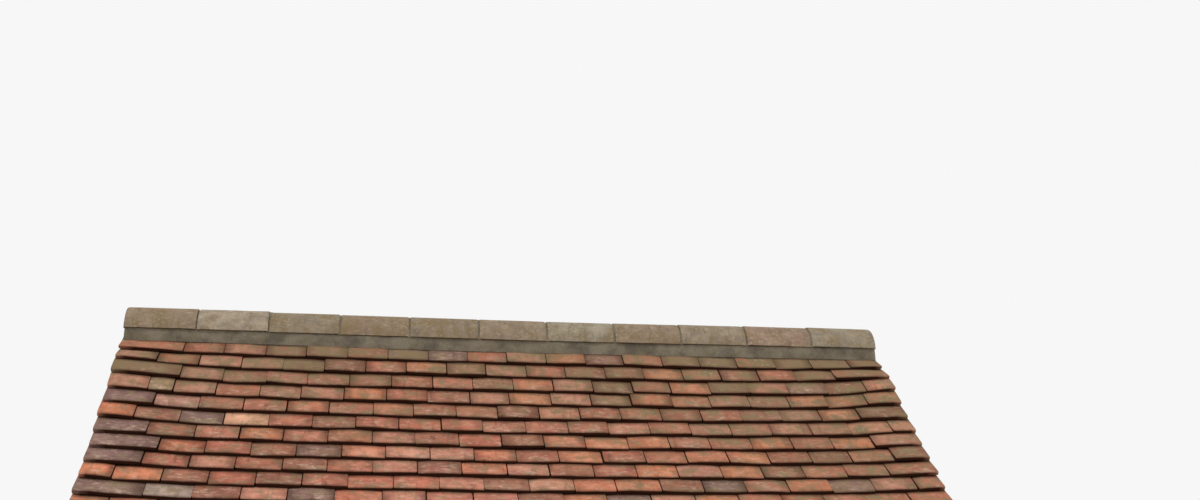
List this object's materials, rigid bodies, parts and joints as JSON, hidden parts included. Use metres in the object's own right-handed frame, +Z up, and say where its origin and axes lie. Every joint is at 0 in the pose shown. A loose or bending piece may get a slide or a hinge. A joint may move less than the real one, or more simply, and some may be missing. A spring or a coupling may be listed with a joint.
{
  "type": "lychgate",
  "caption": "Lychgate with an open oak frame on brick dwarf walls and a steep swept roof of red clay plain tiles with half-round ridge tiles.",
  "frame": {"origin": "on the ground at the middle of the plan", "axes": "+X along the ridge to the east, the right of the pictured side; +Y along the path through the gate, away from the pictured front slope; +Z up"},
  "size_m": [3.3, 2.9566, 3.8528],
  "materials": {
    "clay_tile": "matte",
    "ridge_tile": "matte",
    "mortar": "matte",
    "oak": "matte",
    "boarding": "matte",
    "brick": "matte",
    "coping_stone": "matte"
  },
  "bodies": {
    "root": {"back_arch_braces": "oak", "back_rafters": "oak", "back_roof_boards": "boarding", "back_roof_tiles": "clay_tile", "back_undercloaks": "clay_tile", "back_wall_plate": "oak", "east_back_barge_board": "oak", "east_back_post": "oak", "east_balusters": "oak", "east_coping": "coping_stone", "east_front_barge_board": "oak", "east_front_post": "oak", "east_king_post": "oak", "east_middle_post": "oak", "east_plinth_wall": "brick", "east_rails": "oak", "east_side_braces": "oak", "east_sill_beam": "oak", "east_struts": "oak", "east_tie_beam": "oak", "front_arch_braces": "oak", "front_rafters": "oak", "front_roof_boards": "boarding", "front_roof_tiles": "clay_tile", "front_undercloaks": "clay_tile", "front_wall_plate": "oak", "ridge_bedding": "mortar", "ridge_board": "oak", "ridge_tiles": "ridge_tile", "west_back_barge_board": "oak", "west_back_post": "oak", "west_balusters": "oak", "west_coping": "coping_stone", "west_front_barge_board": "oak", "west_front_post": "oak", "west_king_post": "oak", "west_middle_post": "oak", "west_plinth_wall": "brick", "west_rails": "oak", "west_side_braces": "oak", "west_sill_beam": "oak", "west_struts": "oak", "west_tie_beam": "oak"}
  },
  "joints": []
}
